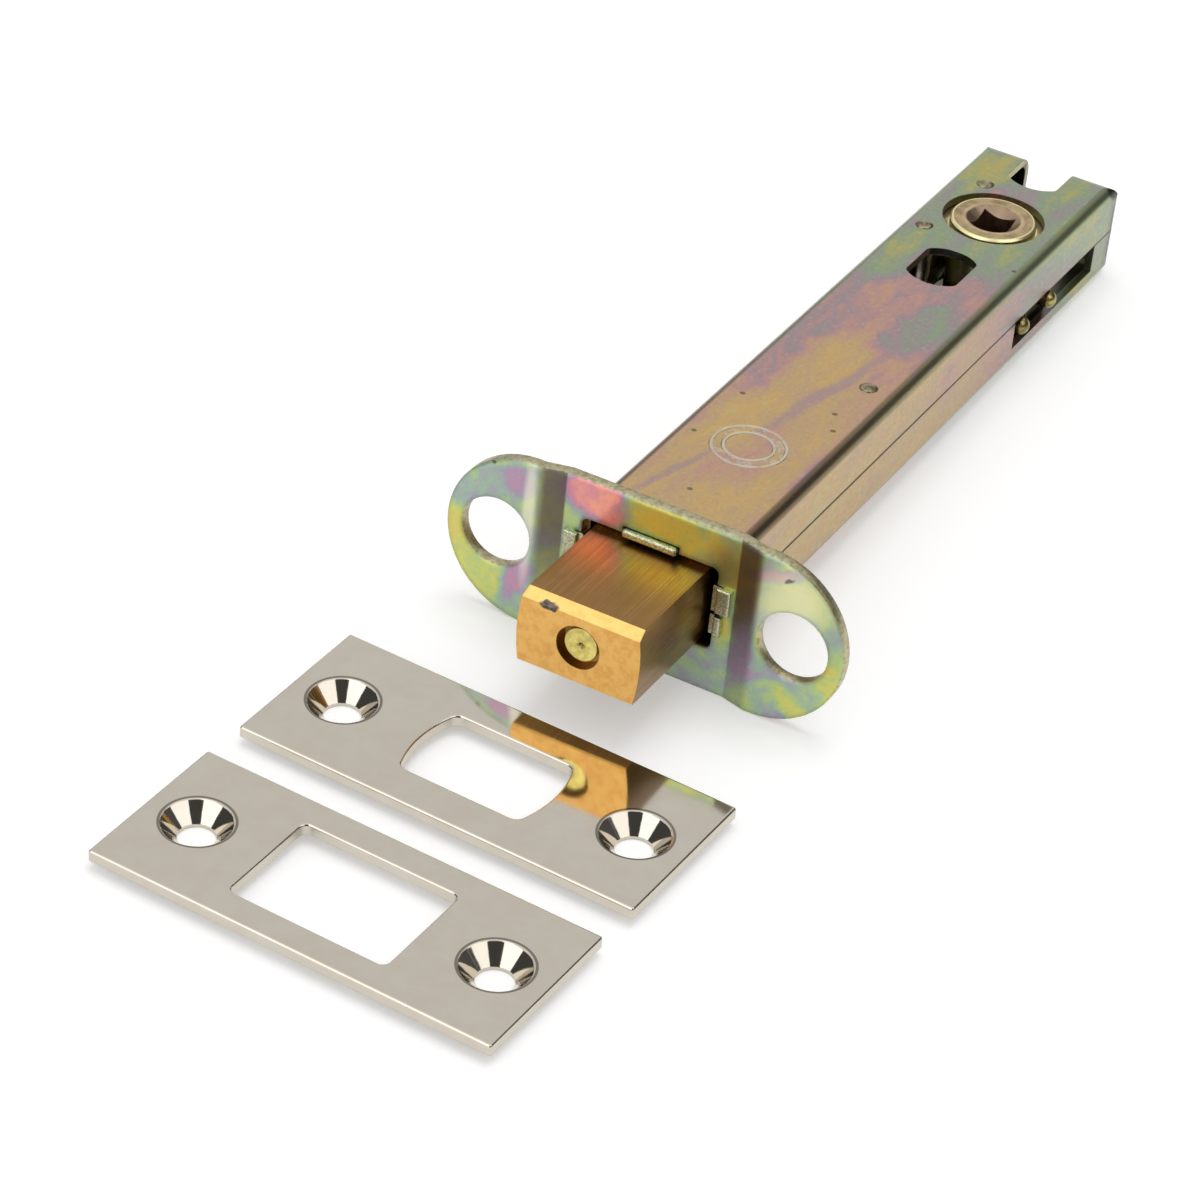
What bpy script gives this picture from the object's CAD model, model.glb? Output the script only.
import math

import bpy
from mathutils import Matrix, Vector


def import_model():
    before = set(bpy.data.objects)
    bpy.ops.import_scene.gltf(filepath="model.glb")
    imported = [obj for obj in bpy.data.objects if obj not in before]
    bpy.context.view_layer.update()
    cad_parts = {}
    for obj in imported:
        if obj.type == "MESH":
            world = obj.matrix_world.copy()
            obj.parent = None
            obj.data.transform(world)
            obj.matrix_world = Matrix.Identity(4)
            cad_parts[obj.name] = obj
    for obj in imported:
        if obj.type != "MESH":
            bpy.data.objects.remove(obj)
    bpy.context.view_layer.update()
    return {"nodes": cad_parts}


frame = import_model()

MM = 0.001
NODES = frame["nodes"]

# Places and sizes in millimetres, in the row's frame
CASE_TOP = 7.6
CASE_REAR = 128.0
CASE_INSIDE_X = 9.85
CASE_INSIDE_Z = 6.45
REAR_FLAP = 1.0
REAR_BEND = 3.4
SEAT_Y = 2.6
LOBE_STEP = 1.0
FOLD_INNER = 12.9
FOLD_OUTER = 16.6
BOLT_FRONT = -17.2
HUB_PLACE = (0, 106.2, 0)
HUB_RIM = 6.3
HUB_TURNING = 4.4
HUB_MOUTH = (3.95, 3.95, 60)
SCREW_PLACES = ((-25.98, -31.32, 0), (18.86, -33.48, 0), (-27.81, -62.54, 0), (17.03, -64.78, 0))
SCREW_RIM = 4.95

# The lock rests on the foot of its fixing plate and on the rear end of its case
PLATE_FOOT = -12.55
REAR_FOOT_Y = 124.8

# Reach of a patch through the whole case, and through the whole fixing plate
CASE_DEEP = 30
PLATE_DEEP = 60

# Marks on the case
STAMP_PLACE = (0, 28.4, CASE_TOP)
STAMP_RADII = (5.15, 3.5)
STAMP_LINE = 0.14
STAMP_BAND = 0.6
PITS = ((-1.5, 14.4), (-8.0, 27.5), (-7.1, 40.0), (5.7, 43.0), (7.5, 39.0), (9.2, 94.0))
PIT_RADII = (0.34, 0.34, 1)
RUNS = (
    ((2.1, 47.0, CASE_TOP), (1.0, 15.5, CASE_DEEP), 0.45, -10.5),
    ((-5.6, 17.0, CASE_TOP), (0.7, 8.0, CASE_DEEP), 0.5, -14),
)
DARK_CORNER = ((11.0, 127.0, 7.2), (1.5, 2.2, 1.6), 0.25)
SEAM_HALF = 0.12

# Marks on the fixing plate
SHEEN = ((-17.8, 0, 4.0), (0.9, PLATE_DEEP, 9.0), 0.5)
GLARE = ((21.0, 0, 6.5), (5.5, PLATE_DEEP, 4.6), 0.6, -30, "Y_AXIS")
SHADE = ((10.6, 0, 7.6), (2.4, PLATE_DEEP, 3.4), 0.5)
PLATE_NICKS = (
    ((20.7, 0, 9.7), (0.8, PLATE_DEEP, 0.25), 0.4, -35, "Y_AXIS"),
    ((-23.5, 0, 10.6), (0.3, PLATE_DEEP, 0.3), 0.4),
)

# Marks on the bolt and its rod, and where the tarnish of the bolt starts and ends
BOLT_NICK = ((-4.8, BOLT_FRONT, 4.75), (1.3, 1.5, 0.6), 0.2)
ROD_SPECKS = ((0.1, BOLT_FRONT + 0.8, 0.25), (0.55, 3, 0.45), 0.4)
TARNISH = (-3, -11)

# Light level of the world on matt surfaces; reflections and the camera see white
AMBIENT = 0.75
LAMP_PLACE = (0.0, 0.1, 0.9)
LAMP_TARGET = (0, 0.05, 0)
LAMP_SIZE = 0.5
LAMP_WATTS = 2.2

# Floor: half its side in metres, its whiteness, and the light it adds to itself when seen
FLOOR_REACH = 4.0
FLOOR_WHITE = 0.8
FLOOR_GLOW = 0.30

# Cards: name, azimuths from the front to the right, elevations, shade, distance in metres
CARDS = (
    ("backdrop", (152, 260), (4, 60), 0.81, 0.90),
    ("softbox_front", (-46, 7), (8, 80), 1.9, 0.90),
    ("softbox_right", (55, 116), (29, 62), 1.6, 0.90),
    ("flag_front", (7, 55), (-2, 62), 0.07, 0.90),
    ("flag_low", (55, 116), (-2, 29), 0.10, 0.90),
    ("flag_right", (116, 186), (-2, 44), 0.10, 0.85),
    ("flag_left", (-116, -46), (-2, 32), 0.07, 0.90),
    ("flag_rear", (-150, -116), (-2, 15), 0.08, 0.85),
)
CARD_STEPS = 8

# Camera
LENS = 136.1
SENSOR = 36.0
CAMERA_PLACE = (210.68, -445.67, 335.8)
CAMERA_TARGET = (-10.973, 10.375, -12.219)
CAMERA_ROLL = 6.215


def linear(value):
    value /= 255
    return value / 12.92 if value <= 0.04045 else ((value + 0.055) / 1.055) ** 2.4


def tone(red, green, blue):
    """A linear colour from 8-bit display values."""
    return (linear(red), linear(green), linear(blue), 1.0)


class Shader:
    """A small helper that builds one node material."""

    def __init__(self, name):
        self.material = bpy.data.materials.new(name)
        self.material.use_nodes = True
        self.tree = self.material.node_tree
        self.tree.nodes.clear()
        self.output = self.tree.nodes.new("ShaderNodeOutputMaterial")
        self.coordinates = self.tree.nodes.new("ShaderNodeTexCoord").outputs["Object"]

    def add(self, kind, **settings):
        node = self.tree.nodes.new(kind)
        for key, value in settings.items():
            setattr(node, key, value)
        return node

    def feed(self, socket, value):
        if isinstance(value, bpy.types.NodeSocket):
            self.tree.links.new(value, socket)
        else:
            socket.default_value = value

    def math(self, operation, first, second=0.0, third=None):
        node = self.add("ShaderNodeMath", operation=operation)
        self.feed(node.inputs[0], first)
        self.feed(node.inputs[1], second)
        if third is not None:
            self.feed(node.inputs[2], third)
        return node.outputs[0]

    def product(self, first, *others):
        for other in others:
            first = self.math("MULTIPLY", first, other)
        return first

    def absolute(self, value):
        return self.math("ABSOLUTE", value)

    def mix(self, factor, first, second):
        node = self.add("ShaderNodeMix", data_type="RGBA")
        self.feed(node.inputs["Factor"], factor)
        self.feed(node.inputs["A"], first)
        self.feed(node.inputs["B"], second)
        return node.outputs["Result"]

    def tint(self, colour, mask, amount, target):
        """The colour, moved to the target by the amount where the mask is 1."""
        return self.mix(self.math("MULTIPLY", mask, amount), colour, target)

    def between(self, value, low, high, first, second):
        """The first colour where the value is low, and the second where it is high."""
        return self.mix(self.range(value, low, high), first, second)

    def vector(self, operation, first, second=None):
        node = self.add("ShaderNodeVectorMath", operation=operation)
        self.feed(node.inputs[0], first)
        if second is not None:
            self.feed(node.inputs[1], second)
        return node.outputs["Value" if operation in ("LENGTH", "DOT_PRODUCT") else "Vector"]

    def mapped(self, scale=(1, 1, 1), turn=(0, 0, 0)):
        """Object coordinates in millimetres, scaled and turned."""
        node = self.add("ShaderNodeMapping")
        self.feed(node.inputs["Vector"], self.coordinates)
        node.inputs["Scale"].default_value = [s / MM for s in scale]
        node.inputs["Rotation"].default_value = [math.radians(a) for a in turn]
        return node.outputs["Vector"]

    def warped(self, scale, reach):
        """Coordinates in millimetres, pushed about by up to half the reach."""
        node = self.add("ShaderNodeTexNoise")
        self.feed(node.inputs["Vector"], self.mapped())
        node.inputs["Scale"].default_value = scale
        node.inputs["Detail"].default_value = 3.0
        push = self.vector("SUBTRACT", node.outputs["Color"], (0.5, 0.5, 0.5))
        push = self.vector("MULTIPLY", push, (reach, reach, reach))
        return self.vector("ADD", self.mapped(), push)

    def noise(self, scale, detail, roughness=0.5, distortion=0.0, turn=(0, 0, 0)):
        """Noise with a scale per millimetre, the same on all axes or one for each."""
        node = self.add("ShaderNodeTexNoise")
        each = scale if isinstance(scale, tuple) else (scale, scale, scale)
        self.feed(node.inputs["Vector"], self.mapped(each, turn))
        node.inputs["Scale"].default_value = 1.0
        node.inputs["Detail"].default_value = detail
        node.inputs["Roughness"].default_value = roughness
        node.inputs["Distortion"].default_value = distortion
        return node.outputs[0]

    def ramp(self, factor, stops):
        node = self.add("ShaderNodeValToRGB")
        ramp = node.color_ramp
        while len(ramp.elements) < len(stops):
            ramp.elements.new(0.5)
        for element, (place, colour) in zip(ramp.elements, stops):
            element.position = place
            element.color = colour
        self.feed(node.inputs[0], factor)
        return node.outputs["Color"]

    def range(self, value, low, high, out_low=0.0, out_high=1.0, kind="SMOOTHSTEP"):
        node = self.add("ShaderNodeMapRange", interpolation_type=kind)
        self.feed(node.inputs["Value"], value)
        self.feed(node.inputs["From Min"], low)
        self.feed(node.inputs["From Max"], high)
        self.feed(node.inputs["To Min"], out_low)
        self.feed(node.inputs["To Max"], out_high)
        return node.outputs["Result"]

    def level(self, value, low, high, out_low, out_high):
        """A straight change from one level to another between two values."""
        return self.range(value, low, high, out_low, out_high, "LINEAR")

    def axes(self, vector):
        node = self.add("ShaderNodeSeparateXYZ")
        self.feed(node.inputs[0], vector)
        return node.outputs

    def spot(self, place, centre, radii, soft, turn=0.0, axis="Z_AXIS"):
        """1 inside an ellipsoid and 0 outside, with a soft edge given as a share of its radii."""
        offset = self.vector("SUBTRACT", place, centre)
        if turn:
            node = self.add("ShaderNodeVectorRotate", rotation_type=axis)
            self.feed(node.inputs["Vector"], offset)
            node.inputs["Angle"].default_value = math.radians(-turn)
            offset = node.outputs["Vector"]
        away = self.vector("LENGTH", self.vector("DIVIDE", offset, radii))
        return self.range(away, 1 + soft, 1 - soft)

    def ring(self, centre, radius, width, soft):
        """1 on a circle round a vertical axis, fading to 0 on both sides of it."""
        offset = self.vector("SUBTRACT", self.mapped(), centre)
        away = self.vector("LENGTH", self.vector("MULTIPLY", offset, (1, 1, 0)))
        off = self.absolute(self.math("SUBTRACT", away, radius))
        return self.range(off, width + soft, width)

    def union(self, masks):
        total = masks[0]
        for mask in masks[1:]:
            total = self.math("MAXIMUM", total, mask)
        return total

    def toward(self, value, target, mask):
        """The value, moved to the target where the mask is 1."""
        return self.math("MULTIPLY_ADD", mask, self.math("SUBTRACT", target, value), value)

    def facing(self, axis):
        """How far the surface faces along an axis, from -1 to 1."""
        return self.vector("DOT_PRODUCT", self.add("ShaderNodeNewGeometry").outputs["True Normal"], axis)

    def rounded(self, radius):
        """Surface normal with edges softened over the radius, in millimetres."""
        node = self.add("ShaderNodeBevel", samples=4)
        node.inputs["Radius"].default_value = radius * MM
        return node.outputs["Normal"]

    def edges(self, radius):
        """1 along sharp edges, within the radius in millimetres, and 0 on flat ground."""
        geometry = self.add("ShaderNodeNewGeometry")
        same = self.vector("DOT_PRODUCT", self.rounded(radius), geometry.outputs["Normal"])
        return self.range(self.math("SUBTRACT", 1.0, same), 0.02, 0.25)

    def bump(self, height, strength, distance, normal):
        """Normal raised by the height, over a distance in millimetres; a negative distance sinks it."""
        node = self.add("ShaderNodeBump")
        node.inputs["Strength"].default_value = strength
        node.inputs["Distance"].default_value = distance * MM
        self.feed(node.inputs["Height"], height)
        self.feed(node.inputs["Normal"], normal)
        return node.outputs["Normal"]

    def metal(self, colour, roughness, normal):
        node = self.add("ShaderNodeBsdfPrincipled")
        self.feed(node.inputs["Base Color"], colour)
        self.feed(node.inputs["Roughness"], roughness)
        self.feed(node.inputs["Normal"], normal)
        node.inputs["Metallic"].default_value = 1.0
        self.feed(self.output.inputs["Surface"], node.outputs[0])
        return self.material


# Colours of the passivated film, in the order that its thickness gives
CASE_FILM = [
    (0.00, tone(200, 186, 126)),
    (0.12, tone(209, 174, 116)),
    (0.26, tone(199, 169, 127)),
    (0.40, tone(200, 160, 136)),
    (0.52, tone(190, 150, 146)),
    (0.62, tone(168, 148, 152)),
    (0.74, tone(154, 158, 146)),
    (0.84, tone(150, 166, 136)),
    (0.94, tone(174, 174, 116)),
    (1.00, tone(186, 175, 108)),
]
PLATE_FILM = [
    (0.00, tone(236, 222, 130)),
    (0.12, tone(242, 212, 140)),
    (0.26, tone(250, 190, 158)),
    (0.38, tone(240, 164, 150)),
    (0.50, tone(204, 142, 168)),
    (0.60, tone(168, 156, 180)),
    (0.72, tone(160, 182, 166)),
    (0.84, tone(178, 200, 138)),
    (0.94, tone(206, 206, 114)),
    (1.00, tone(214, 196, 108)),
]

# Colours of the stained brass
BRASS_STAIN = [
    (0.30, tone(180, 134, 76)),
    (0.55, tone(190, 150, 88)),
    (0.75, tone(176, 126, 80)),
]

# Patches of the film: centre, radii, film value, turn
CASE_PATCHES = [
    ((5.0, 15.0, CASE_TOP), (5.0, 6.5, CASE_DEEP), 0.18, 0),
    ((-3.5, 34.0, CASE_TOP), (4.5, 11.0, CASE_DEEP), 0.10, -14),
    ((4.5, 40.0, CASE_TOP), (3.6, 9.0, CASE_DEEP), 0.22, 0),
    ((-0.5, 55.0, CASE_TOP), (4.4, 12.0, CASE_DEEP), 0.14, -16),
    ((-9.0, 58.0, CASE_TOP), (3.4, 18.0, CASE_DEEP), 0.60, -6),
    ((-1.5, 76.0, CASE_TOP), (5.0, 8.0, CASE_DEEP), 0.50, -20),
    ((5.5, 70.0, CASE_TOP), (4.0, 8.0, CASE_DEEP), 0.78, -14),
    ((-6.5, 90.0, CASE_TOP), (3.6, 11.0, CASE_DEEP), 0.92, -8),
    ((5.5, 86.0, CASE_TOP), (3.6, 6.0, CASE_DEEP), 0.54, -12),
    ((4.0, 97.0, CASE_TOP), (6.0, 6.0, CASE_DEEP), 0.84, 0),
    ((-7.0, 119.0, CASE_TOP), (3.6, 6.0, CASE_DEEP), 0.98, 0),
]
PLATE_PATCHES = [
    ((-28.4, 0, -1.5), (2.2, PLATE_DEEP, 4.0), 1.00, 0),
    ((-28.6, 0, 4.5), (2.0, PLATE_DEEP, 3.0), 0.72, 0),
    ((-19.8, 0, 9.0), (2.0, PLATE_DEEP, 3.0), 0.55, 0),
    ((-25.0, 0, -7.5), (5.0, PLATE_DEEP, 3.4), 0.92, 30),
    ((-18.8, 0, -6.0), (1.8, PLATE_DEEP, 5.0), 0.54, 20),
    ((-8.6, 0, 10.4), (4.4, PLATE_DEEP, 4.0), 0.36, 0),
    ((-5.4, 0, 9.6), (1.2, PLATE_DEEP, 1.6), 0.48, 20),
    ((2.0, 0, 10.6), (6.0, PLATE_DEEP, 3.4), 0.97, 0),
    ((15.0, 0, -3.5), (2.0, PLATE_DEEP, 5.0), 0.56, 0),
    ((19.5, 0, 9.9), (4.5, PLATE_DEEP, 1.2), 0.50, -25),
    ((22.0, 0, 6.8), (5.5, PLATE_DEEP, 1.6), 0.94, -25),
    ((23.5, 0, -9.5), (3.2, PLATE_DEEP, 1.6), 0.97, 30),
]


def film(s, ramp, value, patches, axis, warp, unrest):
    """Colour of the film from a base value, patches at chosen places, and a cloudy unrest."""
    place = s.warped(*warp)
    for centre, radii, target, turn in patches:
        patch = s.spot(place, centre, radii, 0.5, turn, axis)
        value = s.toward(value, target, s.product(patch, 0.9))
    cloud = s.noise((0.34, 0.12, 0.34), 5.0, 0.65, 0.6, (0, 0, -12))
    value = s.math("ADD", value, s.level(cloud, 0.3, 0.7, -unrest, unrest))
    return s.ramp(value, ramp)


def mottled(s, colour, depth):
    """Fine grain and faint dirt over a colour; also gives the height for a bump."""
    grain = s.noise((1.7, 1.2, 1.7), 6.0, 0.7)
    dark = s.range(grain, 0.52, 0.72)
    light = s.range(grain, 0.46, 0.30)
    colour = s.tint(colour, dark, depth, tone(120, 106, 80))
    return s.tint(colour, light, depth, tone(232, 224, 196)), grain


def case_film(s, y):
    """Film whose value rises to the rear, with a range of its own on the side walls, and run marks."""
    streak = s.noise((0.16, 0.035, 0.10), 3.0, 0.55, 0.5, (0, 0, -10))
    top = s.math("ADD", s.level(y, 8, 124, 0.26, 0.80), s.level(streak, 0.3, 0.7, -0.2, 0.2))
    wall = s.math("ADD", s.level(y, 58, 122, 0.09, 0.84), s.level(streak, 0.3, 0.7, -0.10, 0.22))
    on_wall = s.range(s.absolute(s.facing((1, 0, 0))), 0.6, 0.8)
    colour = film(s, CASE_FILM, s.toward(top, wall, on_wall), CASE_PATCHES, "Z_AXIS", (0.11, 7.0), 0.13)
    runs = s.union([s.spot(s.warped(0.15, 2.0), *run) for run in RUNS])
    colour = s.tint(colour, runs, 0.75, tone(176, 148, 150))
    return s.tint(colour, on_wall, 0.3, tone(140, 136, 116))


def stamp(s, z):
    """Two plain rings on the top of the case, with worn traces between them."""
    rings = s.union([s.ring(STAMP_PLACE, radius, STAMP_LINE, 0.22) for radius in STAMP_RADII])
    worn = s.noise(1.0, 4.0)
    band = s.ring(STAMP_PLACE, sum(STAMP_RADII) / 2, STAMP_BAND, 0.3)
    band = s.product(band, s.range(worn, 0.48, 0.62, 0.0, 0.55))
    on_top = s.range(z, CASE_TOP - 0.5, CASE_TOP - 0.3)
    return s.product(s.math("MAXIMUM", rings, band), on_top, s.range(worn, 0.35, 0.55, 0.55, 1.0))


def case_steel():
    """The film with its stamp, pits, bends, seam, rear end, dark inside and bare front tabs."""
    s = Shader("case_steel")
    x, y, z = s.axes(s.mapped())
    colour, grain = mottled(s, case_film(s, y), 0.2)

    pits = s.union([s.spot(s.mapped(), (px, py, CASE_TOP), PIT_RADII, 0.5) for px, py in PITS])
    colour = s.tint(colour, pits, 0.75, tone(92, 74, 52))
    rings = stamp(s, z)
    colour = s.tint(colour, rings, 0.7, tone(214, 216, 200))

    nx, _, nz = s.axes(s.add("ShaderNodeNewGeometry").outputs["True Normal"])
    bend = s.range(s.absolute(s.product(nx, nz)), 0.05, 0.30)
    colour = s.tint(colour, bend, 0.75, s.between(y, 10, 120, tone(96, 84, 62), tone(168, 178, 138)))

    seam = s.range(s.absolute(z), SEAM_HALF + 0.22, SEAM_HALF)
    seam = s.product(seam, s.level(y, 60, 118, 0.95, 0.5), s.range(y, SEAT_Y - 0.1, SEAT_Y + 0.1))
    colour = s.mix(seam, colour, tone(84, 66, 44))

    rear = s.range(y, CASE_REAR - REAR_BEND, CASE_REAR - REAR_BEND + 1.8)
    colour = s.tint(colour, rear, 0.6, tone(126, 122, 118))
    corner = s.spot(s.warped(0.6, 0.8), *DARK_CORNER)
    colour = s.tint(colour, corner, 0.9, tone(70, 68, 72))

    inside_x = s.range(s.absolute(x), CASE_INSIDE_X, CASE_INSIDE_X - 0.05)
    inside_z = s.range(s.absolute(z), CASE_INSIDE_Z, CASE_INSIDE_Z - 0.05)
    before_flap = s.range(y, CASE_REAR - REAR_FLAP + 0.1, CASE_REAR - REAR_FLAP - 0.1)
    colour = s.tint(colour, s.product(inside_x, inside_z, before_flap), 0.75, tone(64, 56, 36))

    tabs = s.range(y, LOBE_STEP + 0.1, LOBE_STEP)
    speckle = s.noise(4.0, 4.0, 0.6)
    colour = s.mix(tabs, colour, s.between(speckle, 0.38, 0.62, tone(202, 206, 178), tone(148, 148, 122)))

    normal = s.bump(grain, 0.14, 0.03, s.rounded(0.15))
    normal = s.bump(s.math("MAXIMUM", rings, pits), 0.8, -0.12, normal)
    return s.metal(colour, s.level(grain, 0.3, 0.7, 0.27, 0.37), normal)


def plate_steel():
    """Film in patches, with bright and shaded places, dark folds, worn rims and plain cut sides."""
    s = Shader("plate_steel")
    x, _, z = s.axes(s.mapped())
    streak = s.noise((0.13, 0.1, 0.13), 3.0, 0.5, 0.8, (0, 20, 0))
    value = s.level(streak, 0.3, 0.7, 0.58, 0.97)
    colour = film(s, PLATE_FILM, value, PLATE_PATCHES, "Y_AXIS", (0.28, 3.0), 0.055)
    colour, grain = mottled(s, colour, 0.18)
    colour = s.tint(colour, s.spot(s.mapped(), *SHEEN), 0.5, tone(255, 250, 232))
    colour = s.tint(colour, s.spot(s.mapped(), *GLARE), 0.6, tone(250, 255, 222))

    out = s.absolute(x)
    inner = s.range(out, FOLD_INNER, FOLD_INNER + 0.3)
    outer = s.range(out, FOLD_OUTER + 0.7, FOLD_OUTER - 1.0)
    fold = s.product(inner, outer, s.level(z, -10, 4, 0.35, 0.8))
    colour = s.mix(fold, colour, tone(100, 78, 82))
    colour = s.tint(colour, s.spot(s.mapped(), *SHADE), 0.5, tone(120, 116, 104))

    rim = s.between(grain, 0.42, 0.6, tone(222, 222, 210), tone(104, 102, 92))
    colour = s.tint(colour, s.edges(0.35), 0.6, rim)
    cut = s.between(grain, 0.42, 0.62, tone(194, 186, 150), tone(160, 152, 118))
    colour = s.between(s.absolute(s.facing((0, 1, 0))), 0.5, 0.7, cut, colour)
    nicks = s.union([s.spot(s.warped(0.9, 1.0), *nick) for nick in PLATE_NICKS])
    colour = s.tint(colour, nicks, 0.8, tone(90, 86, 70))
    return s.metal(colour, s.level(grain, 0.3, 0.7, 0.30, 0.42), s.bump(grain, 0.12, 0.03, s.rounded(1.1)))


def dull_brass(s, lines):
    """The long faces: stained, tarnished toward the front, with lines drawn along them."""
    _, y, _ = s.axes(s.mapped())
    stain = s.noise((0.3, 0.14, 0.3), 4.0, 0.6)
    colour = s.ramp(stain, BRASS_STAIN)
    colour = s.mix(s.range(y, *TARNISH, 0.0, 0.75), colour, tone(146, 110, 66))
    colour = s.mix(s.range(lines, 0.38, 0.66, 0.0, 0.35), colour, tone(128, 92, 46))
    colour = s.mix(s.range(lines, 0.40, 0.30, 0.0, 0.30), colour, tone(224, 190, 124))
    side = s.range(s.facing((1, 0, 0)), 0.5, 0.8)
    return s.tint(colour, side, 0.35, tone(130, 100, 54))


def brass():
    """Brass drawn along its length; its machined front and bevel are brighter."""
    s = Shader("bolt_brass")
    lines = s.noise((3.4, 0.05, 3.4), 4.0, 0.7)
    fine = s.noise(0.9, 5.0, 0.6)
    front = s.range(s.facing((0, -1, 0)), 0.2, 0.4)
    flat = s.range(s.facing((0, -1, 0)), 0.7, 0.9)
    bright = s.between(fine, 0.4, 0.65, tone(252, 206, 124), tone(242, 188, 108))
    bevel = s.between(fine, 0.4, 0.65, tone(255, 216, 132), tone(250, 204, 118))
    colour = s.mix(front, dull_brass(s, lines), s.mix(flat, bevel, bright))
    nick = s.spot(s.warped(1.1, 1.3), *BOLT_NICK)
    colour = s.mix(nick, colour, s.between(fine, 0.4, 0.6, tone(84, 80, 78), tone(132, 122, 108)))
    rough = s.toward(s.range(lines, 0.3, 0.7, 0.26, 0.38), 0.42, front)
    rough = s.toward(rough, 0.55, flat)
    height = s.product(lines, s.math("SUBTRACT", 1.0, front))
    normal = s.bump(height, 0.25, 0.02, s.rounded(0.12))
    return s.metal(colour, rough, s.bump(nick, 0.8, -0.1, normal))


def plated(name, colour, second, roughness, edge=0.15):
    """Turned or stamped steel with patches of a second tone and lighter edges."""
    s = Shader(name)
    patch = s.noise(0.7, 5.0, 0.65)
    base = s.between(patch, 0.40, 0.62, colour, second)
    base = s.tint(base, s.edges(0.25), 0.5, tone(236, 228, 196))
    normal = s.bump(s.noise(3.0, 4.0), 0.12, 0.02, s.rounded(edge))
    return s.metal(base, s.range(patch, 0.3, 0.7, roughness - 0.06, roughness + 0.08), normal)


def rod_steel():
    """The rod's riveted end, with dark specks near its centre and a light edge."""
    s = Shader("rod_steel")
    patch = s.noise(0.8, 5.0, 0.65)
    base = s.between(patch, 0.40, 0.62, tone(236, 222, 132), tone(206, 190, 110))
    specks = s.spot(s.warped(1.6, 1.0), *ROD_SPECKS)
    base = s.tint(base, specks, 0.7, tone(96, 72, 44))
    base = s.tint(base, s.edges(0.3), 0.5, tone(244, 236, 190))
    return s.metal(base, 0.3, s.bump(patch, 0.2, 0.04, s.rounded(0.15)))


def follower_steel():
    """Turned face with a brownish tone, its rim bright."""
    s = Shader("follower_steel")
    patch = s.noise(0.6, 5.0, 0.65)
    base = s.between(patch, 0.38, 0.62, tone(190, 168, 124), tone(158, 134, 100))
    base = s.mix(s.ring(HUB_PLACE, HUB_RIM, 0.25, 0.2), base, tone(246, 236, 180))
    base = s.tint(base, s.ring(HUB_PLACE, HUB_TURNING, 0.1, 0.3), 0.4, tone(232, 206, 170))
    mouth = s.spot(s.mapped(), HUB_PLACE, HUB_MOUTH, 0.03)
    base = s.tint(base, mouth, 0.8, tone(164, 140, 122))
    return s.metal(base, s.range(patch, 0.3, 0.7, 0.26, 0.40), s.bump(patch, 0.15, 0.04, s.rounded(0.2)))


def nickel():
    """Polished nickel; the rims of the countersinks are darker."""
    s = Shader("nickel")
    haze = s.noise(0.25, 4.0, 0.6)
    colour = s.between(haze, 0.3, 0.7, tone(208, 201, 188), tone(204, 196, 182))
    rims = s.union([s.ring(place, SCREW_RIM, 0.12, 0.12) for place in SCREW_PLACES])
    colour = s.tint(colour, rims, 0.75, tone(88, 82, 72))
    return s.metal(colour, s.range(haze, 0.3, 0.7, 0.06, 0.09), s.rounded(0.12))


def dress(material, *names):
    for name in names:
        mesh = NODES[name].data
        mesh.materials.clear()
        mesh.materials.append(material)


dress(case_steel(), "case_upper", "case_lower")
dress(plate_steel(), "fixing_plate")
dress(brass(), "bolt_head")
dress(rod_steel(), "bolt_rod")
dress(plated("strip_steel", tone(104, 94, 62), tone(74, 64, 40), 0.34), "carriage")
STUDS = ("guide_stud_front", "guide_stud_rear")
dress(plated("stud_steel", tone(176, 164, 108), tone(120, 104, 60), 0.30), *STUDS)
dress(follower_steel(), "follower")
POSTS = ("rivet_post_front", "rivet_post_middle", "rivet_post_rear")
dress(plated("post_steel", tone(170, 160, 128), tone(112, 102, 78), 0.32, 0.3), *POSTS)
dress(plated("spring_steel", tone(200, 196, 180), tone(160, 156, 140), 0.22), "detent_spring")
dress(nickel(), "face_plate", "strike_plate")


def link(name, data):
    holder = bpy.data.objects.new(name, data)
    bpy.context.scene.collection.objects.link(holder)
    return holder


def floor():
    """The sloping plane under the two places on which the lock rests."""
    slope = (-CASE_TOP - PLATE_FOOT) / (REAR_FOOT_Y - SEAT_Y)
    level = (PLATE_FOOT - SEAT_Y * slope) * MM
    corners = []
    for x, y in ((-1, -1), (1, -1), (1, 1), (-1, 1)):
        corners.append((x * FLOOR_REACH, y * FLOOR_REACH, level + y * FLOOR_REACH * slope))
    mesh = bpy.data.meshes.new("floor")
    mesh.from_pydata(corners, [], [(0, 1, 2, 3)])
    plane = link("floor", mesh)
    s = Shader("floor")
    diffuse = s.add("ShaderNodeBsdfDiffuse")
    diffuse.inputs["Color"].default_value = (FLOOR_WHITE, FLOOR_WHITE, FLOOR_WHITE, 1)
    glow = s.add("ShaderNodeEmission")
    path = s.add("ShaderNodeLightPath")
    seen = s.math("MAXIMUM", path.outputs["Is Camera Ray"], path.outputs["Is Glossy Ray"])
    seen = s.math("MAXIMUM", seen, path.outputs["Is Transmission Ray"])
    s.feed(glow.inputs["Strength"], s.product(seen, FLOOR_GLOW))
    both = s.add("ShaderNodeAddShader")
    s.feed(both.inputs[0], diffuse.outputs[0])
    s.feed(both.inputs[1], glow.outputs[0])
    s.feed(s.output.inputs["Surface"], both.outputs[0])
    mesh.materials.append(s.material)


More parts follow.
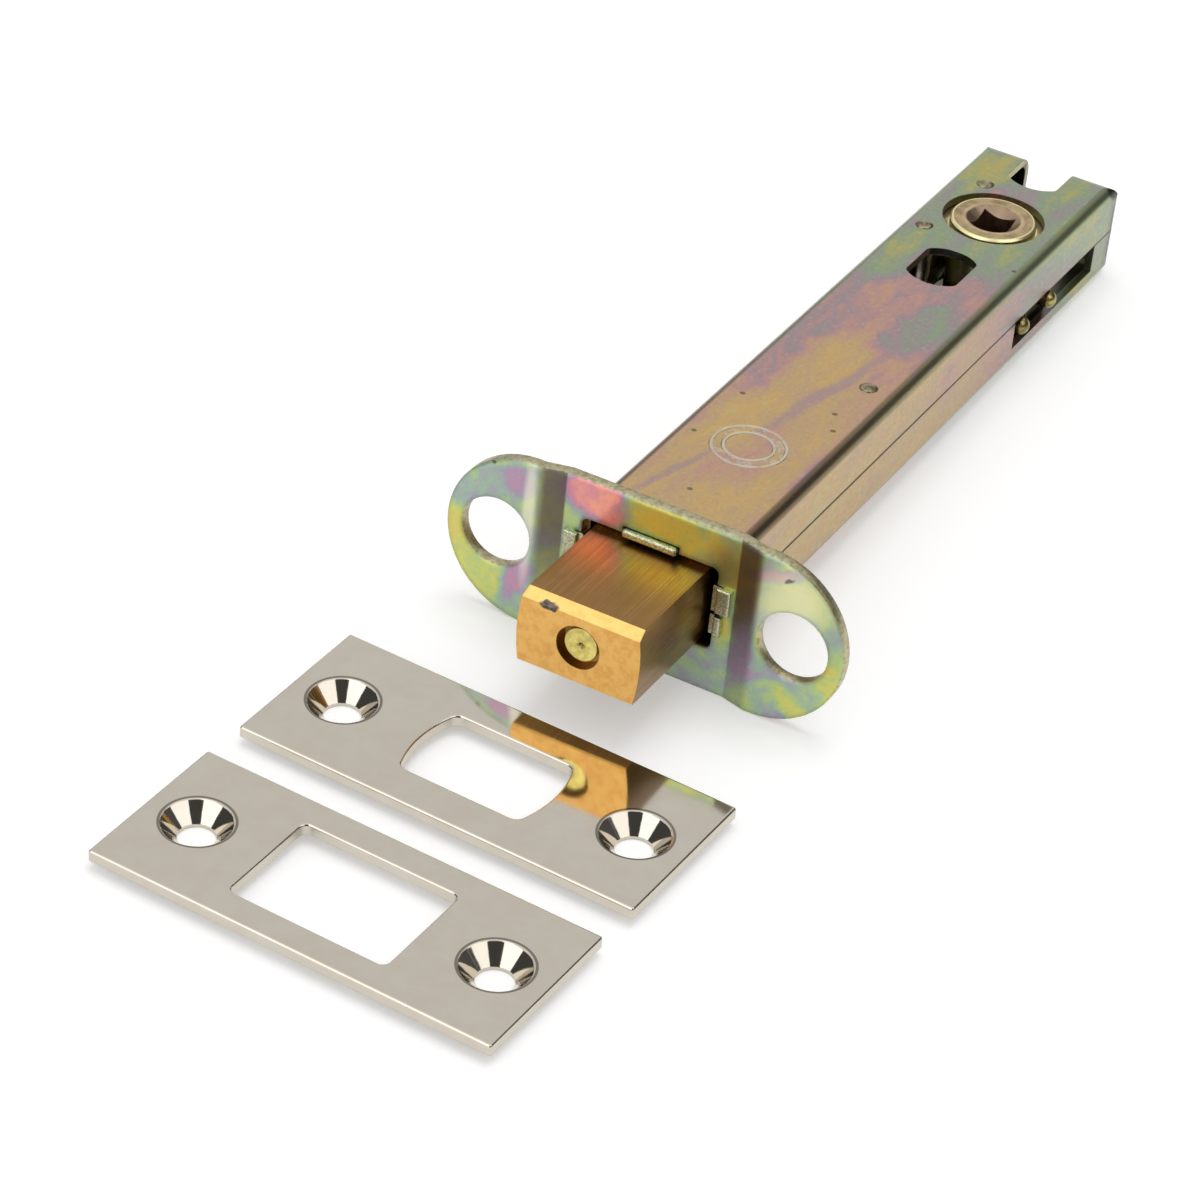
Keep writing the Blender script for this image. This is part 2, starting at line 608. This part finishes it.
def card(name, azimuths, elevations, shade, reach):
    """A curved card round the object that only reflections see."""
    verts = []
    faces = []
    for i in range(CARD_STEPS + 1):
        azimuth = math.radians(azimuths[0] + (azimuths[1] - azimuths[0]) * i / CARD_STEPS)
        for elevation in elevations:
            lift = math.radians(elevation)
            flat = reach * math.cos(lift)
            verts.append((flat * math.sin(azimuth), -flat * math.cos(azimuth), reach * math.sin(lift)))
        if i:
            faces.append((2 * i - 2, 2 * i, 2 * i + 1, 2 * i - 1))
    mesh = bpy.data.meshes.new(name)
    mesh.from_pydata(verts, [], faces)
    piece = link(name, mesh)
    s = Shader(name)
    glow = s.add("ShaderNodeEmission")
    glow.inputs["Color"].default_value = (shade, shade, shade, 1)
    s.feed(s.output.inputs["Surface"], glow.outputs[0])
    mesh.materials.append(s.material)
    piece.visible_camera = False
    piece.visible_diffuse = False
    piece.visible_shadow = False
    piece.visible_transmission = False


def lamp():
    """A soft lamp that casts the floor's shadows; polished faces reflect the cards and the world alone."""
    light = bpy.data.lights.new("overhead", "AREA")
    light.shape = "RECTANGLE"
    light.size = LAMP_SIZE
    light.size_y = LAMP_SIZE
    light.energy = LAMP_WATTS
    holder = link("overhead", light)
    holder.visible_glossy = False
    holder.location = LAMP_PLACE
    holder.rotation_euler = (Vector(LAMP_TARGET) - Vector(LAMP_PLACE)).to_track_quat("-Z", "Y").to_euler()


def world():
    """White to the camera and to reflections, and dimmer on matt surfaces."""
    studio = bpy.data.worlds.new("studio")
    bpy.context.scene.world = studio
    studio.use_nodes = True
    tree = studio.node_tree
    back = tree.nodes["Background"]
    back.inputs["Color"].default_value = (1, 1, 1, 1)
    path = tree.nodes.new("ShaderNodeLightPath")
    seen = path.outputs["Is Camera Ray"]
    for kind in ("Is Glossy Ray", "Is Transmission Ray"):
        either = tree.nodes.new("ShaderNodeMath")
        either.operation = "MAXIMUM"
        tree.links.new(seen, either.inputs[0])
        tree.links.new(path.outputs[kind], either.inputs[1])
        seen = either.outputs[0]
    level = tree.nodes.new("ShaderNodeMath")
    level.operation = "MULTIPLY_ADD"
    level.inputs[1].default_value = 1 - AMBIENT
    level.inputs[2].default_value = AMBIENT
    tree.links.new(seen, level.inputs[0])
    tree.links.new(level.outputs[0], back.inputs["Strength"])


def camera():
    data = bpy.data.cameras.new("camera")
    data.lens = LENS
    data.sensor_width = SENSOR
    data.clip_start = 0.01
    data.clip_end = 50
    holder = link("camera", data)
    place = Vector(CAMERA_PLACE) * MM
    back = (place - Vector(CAMERA_TARGET) * MM).normalized()
    right = Vector((0, 0, 1)).cross(back).normalized()
    up = back.cross(right)
    roll = math.radians(CAMERA_ROLL)
    turned = right * math.cos(roll) + up * math.sin(roll)
    lifted = up * math.cos(roll) - right * math.sin(roll)
    axes = Matrix((turned, lifted, back)).transposed()
    holder.matrix_world = Matrix.Translation(place) @ axes.to_4x4()
    bpy.context.scene.camera = holder


floor()
world()
camera()
lamp()
for settings in CARDS:
    card(*settings)

bpy.context.scene.view_settings.view_transform = "Standard"
